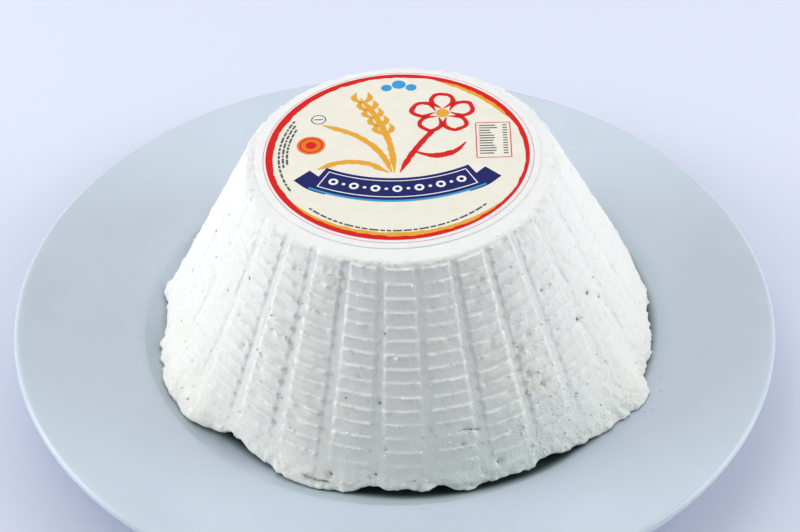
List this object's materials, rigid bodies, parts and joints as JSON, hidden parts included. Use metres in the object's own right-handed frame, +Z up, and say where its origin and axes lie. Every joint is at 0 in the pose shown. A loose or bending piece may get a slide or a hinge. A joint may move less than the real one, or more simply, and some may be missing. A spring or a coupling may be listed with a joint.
{
  "type": "ricotta on a plate",
  "caption": "Whole moulded ricotta, a white fluted cone frustum with a round paper label on its flat top, served on a wide-rimmed glazed dinner plate.",
  "frame": {"origin": "middle of the plate's foot, on the table it stands on", "axes": "+Z up, -Y towards the front of the cheese, +X to its right"},
  "size_m": [0.31, 0.31, 0.0968],
  "materials": {
    "glaze": "pale blue-grey gloss glaze",
    "curd": "moist white fresh curd, soft and slightly translucent",
    "label_paper": "satin printed label paper"
  },
  "bodies": {
    "root": {"plate": "glaze", "ricotta": "curd", "label": "label_paper"}
  },
  "joints": []
}
